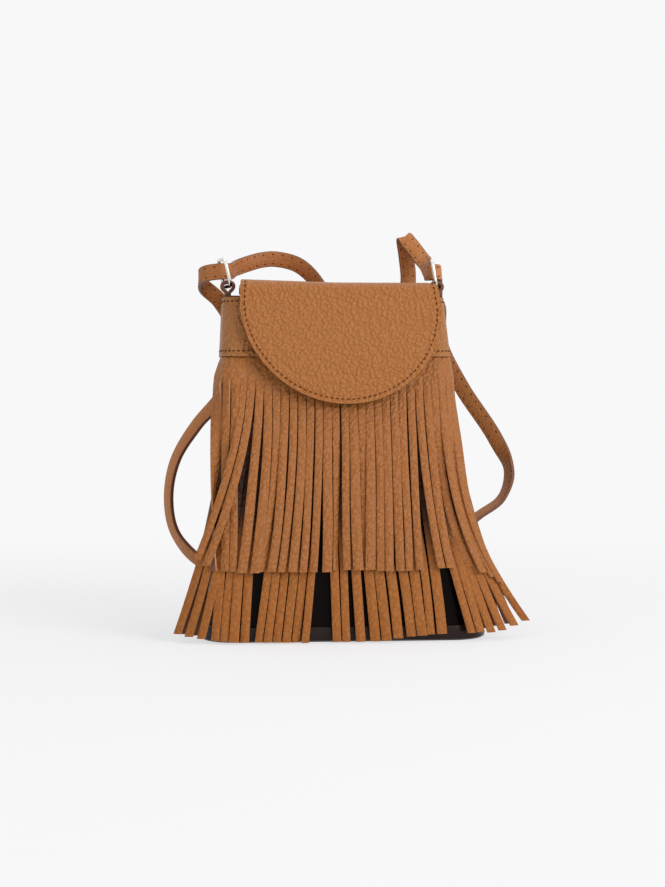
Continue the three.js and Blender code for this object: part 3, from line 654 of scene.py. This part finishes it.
lining_out = pot_wall(LINING_FLOOR, INSIDE_IN + GAP, INSIDE_BACK - GAP)
lining_in = pot_wall(LINING_FLOOR + CLOTH, INSIDE_IN + GAP + CLOTH, INSIDE_BACK - GAP - CLOTH)
count = lining_out.shape[1]
inner = LINING_ROWS * count
faces = []
for r in range(LINING_ROWS - 1):
    faces += between((r + 1) * count, r * count, count)
    faces += between(inner + r * count, inner + (r + 1) * count, count)
faces += between(2 * inner - count, inner - count, count)
faces += [tuple(reversed(range(count))), tuple(range(inner, inner + count))]
verts = np.concatenate([lining_out.reshape(-1, 3), lining_in.reshape(-1, 3)])
lining = mesh_object("lining_cloth", verts, faces, [0] * len(faces), [lining_cloth])
stand_in(lining, "body", "lining")
print("facing and lining faces", len(facing.data.polygons), len(lining.data.polygons))

# %% [markdown]
# ## Fringe
# Each tier is one piece of leather: a plain band whose lower part is cut into strips. A cloth simulation
# could hang them, but they wouldn't cross and fan out where the photo shows it. So a strip is given by
# where its end hangs: x, z and width in millimetres, a turn in degrees, how far it lies over or under its
# neighbours, and how late it swings sideways on the way down. Small random differences are added.

# %% Fringe ends
UPPER_ENDS = [
    (-79.2, 44.2, 4.9, 150, -2, 1.3), (-73.3, 43.6, 5.3, 0, -1.5, 1.3), (-68.3, 43.5, 4.7, 0, -1.5, 1.4),
    (-89.5, 50.8, 4.7, 12, 3, 1.65), (-84.5, 47.2, 5.4, 8, 2.5, 1.65), (-62.9, 42.9, 5.9, 0, 0, 1.5),
    (-55.2, 42.8, 6, 0, 0.5, 1.8), (-50.5, 43.3, 4.9, 50, -0.5, 2), (-45.4, 43.3, 5.4, 0, 0, 2),
    (-39.2, 43.2, 4.7, 5, 0, 2), (-32.9, 43.2, 5.4, 0, 0.3, 2), (-26.7, 43.1, 4.7, 0, 0, 2),
    (-20.7, 43.1, 4.8, -8, 0.5, 2), (-12.3, 43, 6, 0, 1, 2), (-6.4, 44.1, 4.9, 65, -2.2, 1.5),
    (-0.4, 44.1, 4.8, 0, 0, 2.5), (6.5, 44, 6.3, 0, 0.3, 3), (10.2, 44.2, 5, 0, -1.5, 3),
    (13.7, 43.9, 6.3, 5, 0, 3), (20.2, 43.3, 5.1, 0, 0, 3), (25.3, 43.2, 5.1, 0, 0.3, 3),
    (31.7, 43.2, 5.5, -5, 0, 2.6), (37.5, 43.1, 4.8, 8, 0, 2.6), (43.5, 43.7, 4.8, 0, 0, 2.5),
    (56.8, 44.7, 4.8, 10, 0.5, 2.2), (62.5, 44.7, 5.4, 0, 0, 2.2), (74.6, 45.2, 5.3, -8, -2.5, 3),
    (83.1, 41.5, 5.4, 15, 0.8, 2.7), (89.8, 38.4, 5, 10, -1, 2.9), (94.3, 35.2, 4.8, 10, 1, 3),
    (96, 34, 4.9, 45, -1, 3),
]
UPPER_CUTS = [-80.4] + [-70.6 + 5.09 * k for k in range(30)] + [81.9]
LOWER_ENDS = [
    (-91.2, 4.5, 7, 10, -5, 1.4), (-98, 5, 7, 10, -3.5, 1.4), (-101.7, 5.2, 5.4, 0, 1, 1.4),
    (-94.7, 4, 5.4, 5, 1, 1.4), (-87.3, 3.2, 5.2, 8, 0.5, 1.4), (-79, 2.2, 5.4, 0, 0, 0.5),
    (-73.4, 2, 5.1, 10, 0, 0.5), (-67.8, 1.5, 6, 0, 0, 0.5), (-61.5, 1.3, 5.5, 0, 0, 0.5),
    (-52.9, 1.2, 4.9, 0, 0, 1.3), (-47.7, 1.1, 5.1, 5, 0, 1.3), (-42.4, 1, 5, 0, 0, 1.3),
    (-36.6, 0.9, 5.4, 0, 0, 1.3), (-30.8, 0.8, 5.1, 0, 0, 1.3), (-25.4, 0.8, 4.7, 5, 0, 1.3),
    (-6.1, 0.9, 5.3, 0, 0, 0.9), (-0.5, 0.9, 4.9, 8, 0, 0.9), (8.2, 0.9, 5.8, 0, 0, 0.85),
    (16.9, 0.9, 6.2, 0, 0, 0.85), (23.6, 1.4, 6.2, 0, 0, 0.8), (30.8, 2.5, 6.2, 5, 0, 0.8),
    (38.9, 3.6, 6, 0, 0, 0.75), (45.2, 4.1, 6.2, 0, 0, 0.65), (50.7, 4.7, 5, 12, -0.5, 0.58),
    (57.3, 5, 6.2, 0, 0, 0.5), (75.5, 5.2, 4.9, 0, 0, 0.9), (81.3, 5.4, 5.5, 5, 0.3, 0.95),
    (88.2, 4.9, 5.6, 0, 0, 1.1), (95.5, 5.8, 5.7, 0, 0.5, 1.3), (103.8, 7.8, 6, -15, 1, 1.5),
    (112.6, 9.4, 5.6, -38, 1.6, 1.75), (101.2, 8.8, 7, -20, -3, 1.4), (93, 8, 7, -10, -4, 1.4),
    (84.5, 7, 7, -10, -5, 1.4),
]
LOWER_CUTS = [-88.4 + 5.2 * k for k in range(35)]
print("strips", len(UPPER_ENDS), len(LOWER_ENDS))

# %% Fringe shape
PUFF = {-1: ([84, 100, 146, 157, 163, 168, 171.2, 172.2], [3.4, 4.8, 7.1, 5.8, 4.4, 3.0, 1.8, 0]),
        1: ([89, 107, 135, 150, 165, 171.2, 172.2], [4.6, 4.2, 3.4, 2.8, 2.1, 1.6, 0])}
STRIP_THICK, STRIP_EDGE, SLIT_WIDTH, EDGE_DROP = 1.4 * MM, 0.45 * MM, 0.5 * MM, 0.3 * MM
BAND_ROWS, STRIP_ROWS, ROUND_STRIP = 18, 26, 7
OPEN_RADIUS, PAINTED_SHADE_LIFT = 0.062, -3


def hull_y(x, z, loosen):
    """The surface that the strips lie on, at x: its y and its turn. loosen opens its corners."""
    half, front, corner, middle = outline(z)
    radius = corner + (OPEN_RADIUS - corner) * loosen
    q = np.clip(np.abs(x - middle) - (half - corner), 0, 0.97 * radius)
    return float(front + radius - np.sqrt(radius ** 2 - q ** 2)), float(np.sign(x - middle) * q / radius)


def on_band(s, z, puffed):
    """Points on the plain band. The upper tier's sides stand out below the yoke."""
    s = np.asarray(s, float)
    p, out = along_front(s, np.full_like(s, z), -FRINGE_IN)
    for side, (heights, amounts) in PUFF.items():
        push = np.interp(z / MM, heights, amounts) * MM * puffed * np.clip(out[:, 0] * side, 0, 1)
        p = p + out * push[:, None]
    return p, out


def strip_sections(cuts, end, heights, off_end, puffed, rng):
    """Seven points round one strip at each height, which comes with its share of the way down the slit."""
    x_end, w_end = end[0] * MM, end[2] * MM
    turn_end, lift, power = end[3:]
    sway, phase = rng.uniform(-0.5, 0.5) * MM, rng.uniform(0, 6.28)
    stand, curl = rng.uniform(-0.5, 0.9) * MM, rng.uniform(-0.6, 1.2) * MM
    turn_end = math.radians(turn_end + rng.uniform(-7, 7))
    pitch = cuts[1] - cuts[0]
    slit = heights[BAND_ROWS - 1][0]
    x_top = on_band([sum(cuts) / 2], slit, puffed)[0][0][0]
    verts = []
    for z, t in heights:
        (left, right), out = on_band(cuts, z, puffed)
        normal, wide, centre = unit(out.mean(0)), right - left, (left + right) / 2
        behind_left, behind_right = left - out[0] * STRIP_THICK, right - out[1] * STRIP_THICK
        edge, drop = 0.2 * STRIP_EDGE, 0.0
        if t > 0:
            free, opened = smoothstep(min(t / 0.4, 1)), min(t * 8, 1)
            swing = sway * math.sin(math.pi * t) * math.sin(phase + 5 * t)
            x = x_top + (x_end - x_top) * t ** power + swing
            y, lean = hull_y(x, z, t ** 0.7)
            off = -FRINGE_IN + (off_end + FRINGE_IN) * t ** 0.8 + stand * t + curl * t ** 6
            off += lift * MM * math.sin(min(t * 1.6, 1) * math.pi / 2) ** 2
            centre = np.array([x, centre[1] + (y - off - centre[1]) * free, z])
            angle = math.atan2(normal[0], -normal[1])
            angle += (math.asin(min(max(lean, -0.99), 0.99)) - angle) * free + turn_end * t ** 1.5
            normal = np.array([math.sin(angle), -math.cos(angle), 0.0])
            width = pitch + (w_end - pitch) * min(t * 1.5, 1) - SLIT_WIDTH * opened * (1 - 0.6 * t)
            wide = np.array([math.cos(angle), math.sin(angle), 0.0]) * width
            edge, drop = STRIP_EDGE, opened * EDGE_DROP
            left, right = centre - wide / 2, centre + wide / 2
            behind_left, behind_right = left - normal * STRIP_THICK, right - normal * STRIP_THICK
        u, fall = unit(wide), normal * drop
        verts += [left - fall, left + u * edge, centre, right - u * edge, right - fall]
        verts += [behind_right, behind_left]
    return verts


def strip_faces(base, shares, outer_left, outer_right, shown):
    """Faces of one strip. In the plain band only the tier's own two ends have a side face. Below the band
    the front face takes the slot shown, which is the darker flesh side as painted shade on strips that lie
    behind.
    """
    n, rows = ROUND_STRIP, len(shares)
    faces, slots = [], []
    for k in range(rows - 1):
        in_band = shares[k + 1] == 0
        side_slots = {4: outer_right or not in_band, 6: outer_left or not in_band}
        face_slot = shown if shares[k] > 0 else 0
        quads = between(base + k * n, base + (k + 1) * n, n)
        for j, slot in enumerate((face_slot, face_slot, face_slot, face_slot, 1, 2, 1)):
            if side_slots.get(j, True):
                faces.append(quads[j])
                slots.append(slot)
    top = tuple(range(base, base + n))
    foot = tuple(reversed(range(base + (rows - 1) * n, base + rows * n)))
    return faces + [top, foot], slots + [1, 1]


def fringe(name, node_name, top, slit, cuts, ends, off_end, seed, puffed, face):
    """One tier. Points that neighbours share in the plain band are joined, so the band is one piece."""
    rng = random.Random(seed)
    verts, faces, slots = [], [], []
    for i, end in enumerate(ends):
        heights = [(z, 0.0) for z in np.linspace(top, slit, BAND_ROWS)]
        heights += [(slit + (end[1] * MM - slit) * t, t) for t in np.linspace(0, 1, STRIP_ROWS)[1:]]
        # A strip that lies well behind its neighbours shows the darker flesh side on its front face: painted
        # shade in the gaps between the strips in front.
        shown = 2 if end[4] <= PAINTED_SHADE_LIFT else 0
        shares = [t for _, t in heights]
        more, more_slots = strip_faces(len(verts), shares, i == 0, i == len(ends) - 1, shown)
        verts += strip_sections((cuts[i] * MM, cuts[i + 1] * MM), end, heights, off_end, puffed, rng)
        faces += more
        slots += more_slots
    first = {}
    index = [first.setdefault(tuple(np.round(v, 7)), len(first)) for v in verts]
    faces = [tuple(index[v] for v in corners) for corners in faces]
    tier = mesh_object(name, list(first), faces, slots, [face, cut_edge, flesh_side], 40)
    stand_in(tier, "body", node_name)
    return tier


# %% [markdown]
# ## Fringe tiers
# The upper tier hangs from the yoke's seam and hides the top of the lower one, which is sewn to the dark
# wall. One could be a copy of the other, but their ends differ, so a function makes both.

# %% Fringe tiers
upper = fringe("upper_tier", "upper_fringe", 0.1775, 0.1595, UPPER_CUTS, UPPER_ENDS, 4.5 * MM, 3, 1.0,
               fringe_leather)
lower = fringe("lower_tier", "lower_fringe", 0.132, 0.113, LOWER_CUTS, LOWER_ENDS, 3.0 * MM, 5, 0.0,
               lower_leather_painted_shade)
print("lower seam stitches", seam("lower_seam_stitches", 0.1298, 0.0865, -FRINGE_IN))
print("fringe faces", len(upper.data.polygons), len(lower.data.polygons))

# %% [markdown]
# ## Flap
# The flap is a flat pattern with a half-round end, bent over the top of the bag and down the front. It
# could be bent with a modifier, but a line down its middle gives the bend directly: a point is found by
# its distance along that line and from it. The leather, the lining and the topstitch use one function, so
# they stay parallel round the fold.

# %% Flap shape
FLAP_THICK, SNAP_HALF = 1.8 * MM, 1.2 * MM
STAND = 5 * GAP + 2 * SNAP_HALF + CLOTH + FLAP_THICK + GAP
FLAP_R, FOLD_AT, FLAP_MIDDLE, HALF_TOP = 61.5 * MM, 53.6 * MM, -4.5 * MM, 57 * MM
LEFT_RISE, RISE_AT, RISE_REACH = 1.7 * MM, 48 * MM, 17 * MM


def flap_key(z, back=0.0):
    """A point of the flap's middle line in front of the bag, in millimetres, moved towards it by back."""
    return (float(outline(z * MM)[1]) - STAND) / MM + back, z


flap_keys = [(39.6, 212.2), (38.6, 215.0), (35.1, 216.5), (14.8, 216.8), (-7.0, 217.0),
             (flap_key(208, 1.6)[0], 214.4), (flap_key(205)[0], 206.0), flap_key(190), flap_key(174),
             flap_key(158, 0.6), flap_key(143, 1.4)]
flap_line = smooth_line([(0, y * MM, z * MM) for y, z in flap_keys], 24)
flap_run = run_along(flap_line)
flap_tangent = unit(np.gradient(flap_line, axis=0))
FLAP_LENGTH = float(flap_run[-1])
ROUND_AT = FLAP_LENGTH - FLAP_R
print("flap length", round(FLAP_LENGTH, 4), "m")


def flap_middle(d):
    """The x of the pattern's middle and half its width, at distance d from the hinge."""
    front = smoothstep(np.clip((d - FOLD_AT + 6 * MM) / (8 * MM), 0, 1))
    half = HALF_TOP + 3 * MM * front + 1.5 * MM * np.clip((d - FOLD_AT) / (ROUND_AT - FOLD_AT), 0, 1)
    return FLAP_MIDDLE + 2.1 * MM * front + 0.05 * np.maximum(d - FOLD_AT, 0), half


def flap_at(d, x, depth):
    """Points at distance d from the hinge and x from the middle, depth below the outer face."""
    d = np.asarray(d, float)
    p = at(flap_line, np.clip(d, 0, FLAP_LENGTH), flap_run)
    t = unit(at(flap_tangent, np.clip(d, 0, FLAP_LENGTH), flap_run))
    out = np.stack([0 * d, t[:, 2], -t[:, 1]], axis=1)
    p = p + t * np.maximum(d - FLAP_LENGTH, 0)[:, None] - out * depth
    p[:, 0] = flap_middle(d)[0] + x
    p[:, 2] += LEFT_RISE * np.clip(-x / HALF_TOP, 0, 1) * np.exp(-((d - RISE_AT) / RISE_REACH) ** 2)
    return p, out


def flap_grid(margin, depth, start):
    """The pattern as a grid, margin inside its edge. The last rows close in to make the round end."""
    straight = np.linspace(start, ROUND_AT, 70)
    angles = np.linspace(0, math.radians(89), 46)[1:]
    distances = np.concatenate([straight, ROUND_AT + (FLAP_R - margin) * np.sin(angles)])
    halves = np.concatenate([flap_middle(straight)[1] - margin, (FLAP_R - margin) * np.cos(angles)])
    u = np.sin(np.linspace(-1, 1, 81) * math.pi / 2)
    rows = zip(distances, halves)
    return np.array([flap_at(np.full(len(u), d), u * half, depth)[0] for d, half in rows])


# %% Flap
LINING_MARGIN, LINING_START, LINING_DEPTH = 1.5 * MM, 8 * MM, FLAP_THICK + 2 * GAP
TOPSTITCH_IN, TOPSTITCH_STEP = 2.8 * MM, 3.3 * MM
flap_skins = [flap_leather, flesh_side, burnished]
flap = sheet_object("flap_leather_outer", flap_grid(0, 0, 0), flap_grid(0, FLAP_THICK, 0), flap_skins)
soften(flap, 0.55 * MM, 3)
stand_in(flap, "flap", "flap_outer")
lining_grids = [flap_grid(LINING_MARGIN, LINING_DEPTH + deeper, LINING_START) for deeper in (0, CLOTH)]
flap_inside = sheet_object("flap_lining_cloth", *lining_grids, [flesh_side, lining_cloth, lining_cloth])
stand_in(flap_inside, "flap", "flap_lining")

side_d = np.arange(FOLD_AT + 2 * MM, ROUND_AT, TOPSTITCH_STEP)
radius = FLAP_R - TOPSTITCH_IN
turns = np.arange(0, math.pi, TOPSTITCH_STEP / radius)
side_x = flap_middle(side_d)[1] - TOPSTITCH_IN
d = np.concatenate([side_d, ROUND_AT + radius * np.sin(turns), side_d[::-1]])
x = np.concatenate([-side_x, -radius * np.cos(turns), side_x[::-1]])
p, out = flap_at(d, x, 0.0)
along = np.gradient(p, axis=0)
stitches("flap_stitches", p, along, out, 2.3 * MM, SEAM_WIDE, thread_brown, body="flap")
print("flap stitches", len(p))

# %% [markdown]
# ## Rings and tabs
# Each ring is a round wire bent to a rectangle with round corners, and its lower bar lies in a leather
# tab. A torus would be simpler, but its curve would press on the flat strap. So a circle is swept round
# the rectangle. A tab is a strip of leather folded round the wire and pinched below it.

# %% Rings and tabs
RING_W, RING_H, RING_R, WIRE = 14.8 * MM, 17 * MM, 3.9 * MM, 1.1 * MM
TAB_Y, RING_Z = 10 * MM, 215.1 * MM
TAB_X = {-1: -69.5 * MM, 1: 60.5 * MM}
X_WAY, Y_WAY = np.array([1.0, 0, 0]), [0.0, 1.0, 0.0]


def ring_object(name, x, lean, yaw, node_name, body):
    """lean and yaw are in degrees."""
    points = []
    corners = ((1, RING_R, -90), (1, RING_H - RING_R, 0), (-1, RING_H - RING_R, 90), (-1, RING_R, 180))
    for side, centre_z, start in corners:
        for k in range(13):
            turn = math.radians(start + 90 * k / 12)
            y = side * (RING_W / 2 - RING_R) + RING_R * math.cos(turn)
            points.append((0, y, centre_z + RING_R * math.sin(turn)))
    points = np.array(points)
    outward = unit(np.cross(np.roll(points, -1, 0) - np.roll(points, 1, 0), X_WAY))
    verts, faces, around = [], [], 16
    for k, (p, q) in enumerate(zip(points, outward)):
        for turn in np.arange(around) * 2 * math.pi / around:
            verts.append(p + WIRE * (q * math.cos(turn) + X_WAY * math.sin(turn)))
        faces += between(k * around, (k + 1) % len(points) * around, around)
    c, s = math.cos(math.radians(lean)), math.sin(math.radians(lean))
    leaned = np.array([(c, 0, s), (0, 1, 0), (-s, 0, c)])
    c, s = math.cos(math.radians(yaw)), math.sin(math.radians(yaw))
    turned = np.array([(c, -s, 0), (s, c, 0), (0, 0, 1)])
    verts = np.array(verts) @ (turned @ leaned).T + (x, TAB_Y, RING_Z)
    ring = mesh_object(name, verts, faces, [0] * len(faces), [nickel], 180)
    stand_in(ring, body, node_name)


ring_object("left_ring_wire", TAB_X[-1], -14, 15, "ring_left", "left_ring")
ring_object("right_ring_wire", TAB_X[1], -9, -5, "ring_right", "right_ring")

# Half of a tab's loop in millimetres: x from its middle, z from TAB_LEVEL.
HALF_LOOP = [(0.78, -12.9), (0.78, -6), (0.8, -0.6), (1.12, 3.2), (2.8, 5), (3.5, 6.2), (3.4, 8), (2.2, 9.2)]
LOOP_TOP, TAB_LEVEL, TAB_WIDTH, TAB_THICK = 9.6, 208.3, 9 * MM, 2.1 * MM
loop = [(-x, z) for x, z in HALF_LOOP] + [(0, LOOP_TOP)] + HALF_LOOP[::-1]
for side, name in ((-1, "tab_left"), (1, "tab_right")):
    path = smooth_line([(TAB_X[side] + x * MM, TAB_Y, (TAB_LEVEL + z) * MM) for x, z in loop], 6)
    wide = np.tile(Y_WAY, (len(path), 1))
    facing_way = np.cross(unit(np.gradient(path, axis=0)), wide)
    tab = ribbon(name + "_leather", path, wide, facing_way, TAB_WIDTH, TAB_THICK, leather_skins, 0.4 * MM)
    stand_in(tab, "body", name)
print("tab path points", len(path))

# %% [markdown]
# ## Snap and chapes
# The snap's two halves are plain discs under the flap, so the CAD nodes are kept and only get the nickel.
# The chapes are the leather pads that hold the strap's ends on the back. A cube would look too hard, so
# each is a sheet in its CAD node's box that swells a little in the middle and is sewn round its edge.

# %% Snap and chapes
for name in ("snap_socket", "snap_stud"):
    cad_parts[name].data.materials.clear()
    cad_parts[name].data.materials.append(nickel)


def pad_grid(lo, hi, y, puff):
    """A grid over the back of a box, at depth y, that swells by puff in the middle."""
    grid = []
    for b in np.linspace(0, 1, 14):
        swell, z = puff * math.sin(math.pi * b), lo.z + (hi.z - lo.z) * b
        turns = np.linspace(0, 1, 12)
        grid.append([(hi.x - (hi.x - lo.x) * a, y + swell * math.sin(math.pi * a), z) for a in turns])
    return np.array(grid)


for name in ("chape_left", "chape_right"):
    lo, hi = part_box(name)
    outer, inner = pad_grid(lo, hi, hi.y - 0.3 * MM, 0.4 * MM), pad_grid(lo, hi, lo.y, 0)
    chape = soften(sheet_object(name + "_leather", outer, inner, leather_skins), 0.6 * MM, 3)
    stand_in(chape, "body", name)
    cx, cz = (lo.x + hi.x) / 2, (lo.z + hi.z) / 2
    reach_x, reach_z = (hi.x - lo.x) / 2 - 2 * MM, (hi.z - lo.z) / 2 - 2 * MM
    places, along = [], []
    for k in np.arange(-0.8, 0.81, 0.4):
        for side in (-1, 1):
            places.append((cx + reach_x * k, hi.y, cz + side * reach_z))
            places.append((cx + side * reach_x, hi.y, cz + reach_z * k))
            along += [(1, 0, 0), (0, 0, 1)]
    outward = [(0, 1, 0)] * len(places)
    stitches(name + "_stitches", places, along, outward, 1.8 * MM, 0.7 * MM, thread_brown)
print("stitches on a chape", len(places))

# %% [markdown]
# ## Studio
# The photo has a white ground with a soft shadow and no horizon. A floor that curves up into a backdrop
# gives that. Near the bag the paper is lit, so it takes a shadow, and further off it turns plain white
# for the camera and reflections. More light would make it white too, but would wash out the leather.
# Three large lights stand for soft boxes.

# %% Floor and backdrop
FLOOR_FRONT, CURVE_AT, CURVE_R, BACKDROP_TOP, FLOOR_HALF = -3.0, 1.2, 0.8, 4.5, 4
profile = [(FLOOR_FRONT, 0.0), (CURVE_AT, 0.0)]
for turn in np.linspace(0, math.pi / 2, 16)[1:]:
    profile.append((CURVE_AT + CURVE_R * math.sin(turn), CURVE_R - CURVE_R * math.cos(turn)))
profile.append((CURVE_AT + CURVE_R, BACKDROP_TOP))
floor_verts = [(x, y, z) for y, z in profile for x in (-FLOOR_HALF, 0, FLOOR_HALF)]
floor_faces = []
for r in range(len(profile) - 1):
    floor_faces += [(r * 3 + c, r * 3 + c + 1, (r + 1) * 3 + c + 1, (r + 1) * 3 + c) for c in range(2)]


def seen_by(owner):
    """One for a camera, glossy or transmission ray, and zero for any other."""
    rays = node(owner, "ShaderNodeLightPath")
    total = rays.outputs["Is Camera Ray"]
    for kind in ("Is Glossy Ray", "Is Transmission Ray"):
        either = node(owner, "ShaderNodeMath", operation="MAXIMUM")
        link(owner, total, either.inputs[0])
        link(owner, rays.outputs[kind], either.inputs[1])
        total = either.outputs[0]
    return total


def blended(owner, share, first, second, surface):
    """Show the shader first, and second in its place as share goes from 0 to 1."""
    blend = node(owner, "ShaderNodeMixShader")
    for place, source in enumerate((share, first, second)):
        link(owner, source, blend.inputs[place])
    link(owner, blend.outputs[0], surface)


paper = principled("paper", "f4f4f5", 0.9, Specular_IOR_Level=0.1)
reach = node(paper, "ShaderNodeVectorMath", operation="LENGTH")
link(paper, node(paper, "ShaderNodeNewGeometry").outputs["Position"], reach.inputs[0])
share = node(paper, "ShaderNodeMath", operation="MULTIPLY")
link(paper, remapped(paper, reach.outputs["Value"], 0.15, 0.8, bottom=0.65), share.inputs[0])
link(paper, seen_by(paper), share.inputs[1])
plain_white = node(paper, "ShaderNodeEmission", Color=srgb("f8f8f9"))
lit = paper.node_tree.nodes["Principled BSDF"].outputs[0]
paper_out = paper.node_tree.nodes["Material Output"].inputs["Surface"]
blended(paper, share.outputs[0], lit, plain_white.outputs[0], paper_out)
floor = mesh_object("floor", floor_verts, floor_faces, [0] * len(floor_faces), [paper], 60)
floor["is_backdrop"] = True
print("floor faces", len(floor_faces))


# %% Lights and world
def soft_light(name, place, target, size, power):
    lamp = bpy.data.objects.new(name, bpy.data.lights.new(name, "AREA"))
    lamp.data.shape, lamp.data.energy = "RECTANGLE", power
    lamp.data.size, lamp.data.size_y = size
    lamp.location = place
    lamp.rotation_euler = (Vector(place) - Vector(target)).to_track_quat("Z", "Y").to_euler()
    bpy.context.scene.collection.objects.link(lamp)


soft_light("key", (1.25, -1.35, 0.95), (0, 0, 0.11), (1.1, 1.0), 22)
soft_light("top", (0.1, 0.0, 2.0), (0, 0, 0.1), (1.6, 1.6), 11)
soft_light("fill", (-1.5, -1.2, 0.8), (0, 0, 0.12), (1.2, 1.2), 3)
world = bpy.data.worlds.new("studio")
world.use_nodes = True
ambient = world.node_tree.nodes["Background"]
ambient.inputs["Color"].default_value = (1, 1, 1, 1)
ambient.inputs["Strength"].default_value = 0.45
seen_white = node(world, "ShaderNodeBackground", Color=srgb("f7f7f8"))
world_out = world.node_tree.nodes["World Output"].inputs["Surface"]
blended(world, seen_by(world), ambient.outputs[0], seen_white.outputs[0], world_out)
bpy.context.scene.world = world
bpy.context.scene.view_settings.view_transform = "Standard"
print("lights", len(bpy.data.lights))

# %% [markdown]
# ## Finish
# The bag is measured again, to set its size beside the CAD part's from the start.

# %% Finish
bounds_after = [list(corner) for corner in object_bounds()]
for moment, corners in (("before", bounds_before), ("after", bounds_after)):
    print("bounds", moment, [[round(v, 4) for v in corner] for corner in corners])
